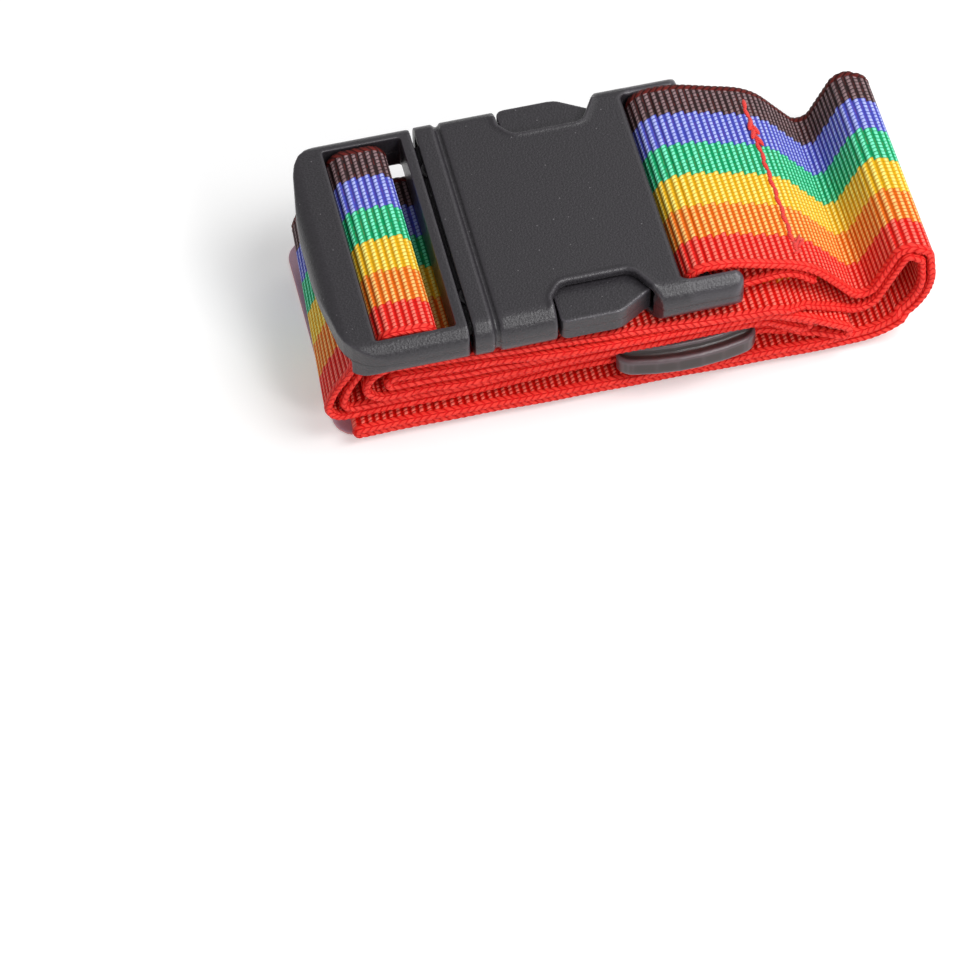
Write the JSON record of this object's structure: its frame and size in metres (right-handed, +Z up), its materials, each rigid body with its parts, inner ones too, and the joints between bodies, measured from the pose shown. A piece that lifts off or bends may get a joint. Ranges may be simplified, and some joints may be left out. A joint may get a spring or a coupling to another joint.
{
  "type": "luggage strap",
  "caption": "Rainbow-striped webbing luggage strap with side-release buckle, strap slider and window address tag, folded into a flat bundle",
  "frame": {"origin": "middle of the folded bundle's footprint, on the surface that the address tag lies on", "axes": "+X from the buckle's plug to its socket, -Y towards the front edge of the bundle, +Z up through the buckle"},
  "size_m": [0.1297, 0.062, 0.0344],
  "materials": {
    "webbing": "ribbed woven polyester webbing with lengthwise colour stripes",
    "buckle_plastic": "fine-grained matte moulding",
    "slider_plastic": "satin to glossy moulding",
    "tag_vinyl": "fine-grained vinyl",
    "clear_film": "clear flexible film",
    "card": "matt white card with ruled lines",
    "thread": "twisted sewing thread"
  },
  "bodies": {
    "bundle": {"socket": "buckle_plastic", "tag_panel": "tag_vinyl", "tag_film": "clear_film", "tag_seam": "thread", "socket_seam": "thread", "strap_socket_loop": "webbing", "strap_top_run": "webbing", "strap_bottom_run": "webbing", "strap_bottom_fold": "webbing", "strap_second_run": "webbing", "strap_right_inner": "webbing", "strap_under_buckle": "webbing", "strap_left_fold": "webbing", "strap_middle_run": "webbing", "strap_inner_fold": "webbing", "strap_third_run": "webbing", "strap_inner_left_fold": "webbing", "strap_fourth_run": "webbing", "strap_outer_fold": "webbing", "strap_adjuster_run": "webbing", "strap_tail": "webbing"},
    "plug": {"plug_frame": "buckle_plastic", "strap_plug_loop": "webbing"},
    "front_latch": {"front_latch": "buckle_plastic"},
    "rear_latch": {"rear_latch": "buckle_plastic"},
    "slider": {"slider": "slider_plastic"},
    "card": {"address_card": "card"}
  },
  "joints": [
    {"name": "plug_slide", "type": "slide", "parent": "bundle", "child": "plug", "axis": [-1, 0, 0], "range_m": [0, 0.04], "deforming": ["front_latch", "rear_latch", "strap_adjuster_run", "strap_tail"]},
    {"name": "front_squeeze", "type": "hinge", "parent": "plug", "child": "front_latch", "pos_m": [-0.0337, -0.0175, 0.0283], "axis": [0, 0, 1], "range_deg": [0, 13], "stiffness_Nm_per_rad": 1},
    {"name": "rear_squeeze", "type": "hinge", "parent": "plug", "child": "rear_latch", "pos_m": [-0.0337, 0.0175, 0.0283], "axis": [0, 0, -1], "range_deg": [0, 13], "stiffness_Nm_per_rad": 1},
    {"name": "slider_slide", "type": "slide", "parent": "bundle", "child": "slider", "axis": [1, 0, 0], "range_m": [-0.0065, 0.0005]},
    {"name": "card_slide", "type": "slide", "parent": "bundle", "child": "card", "axis": [1, 0, 0], "range_m": [0, 0.07]}
  ]
}
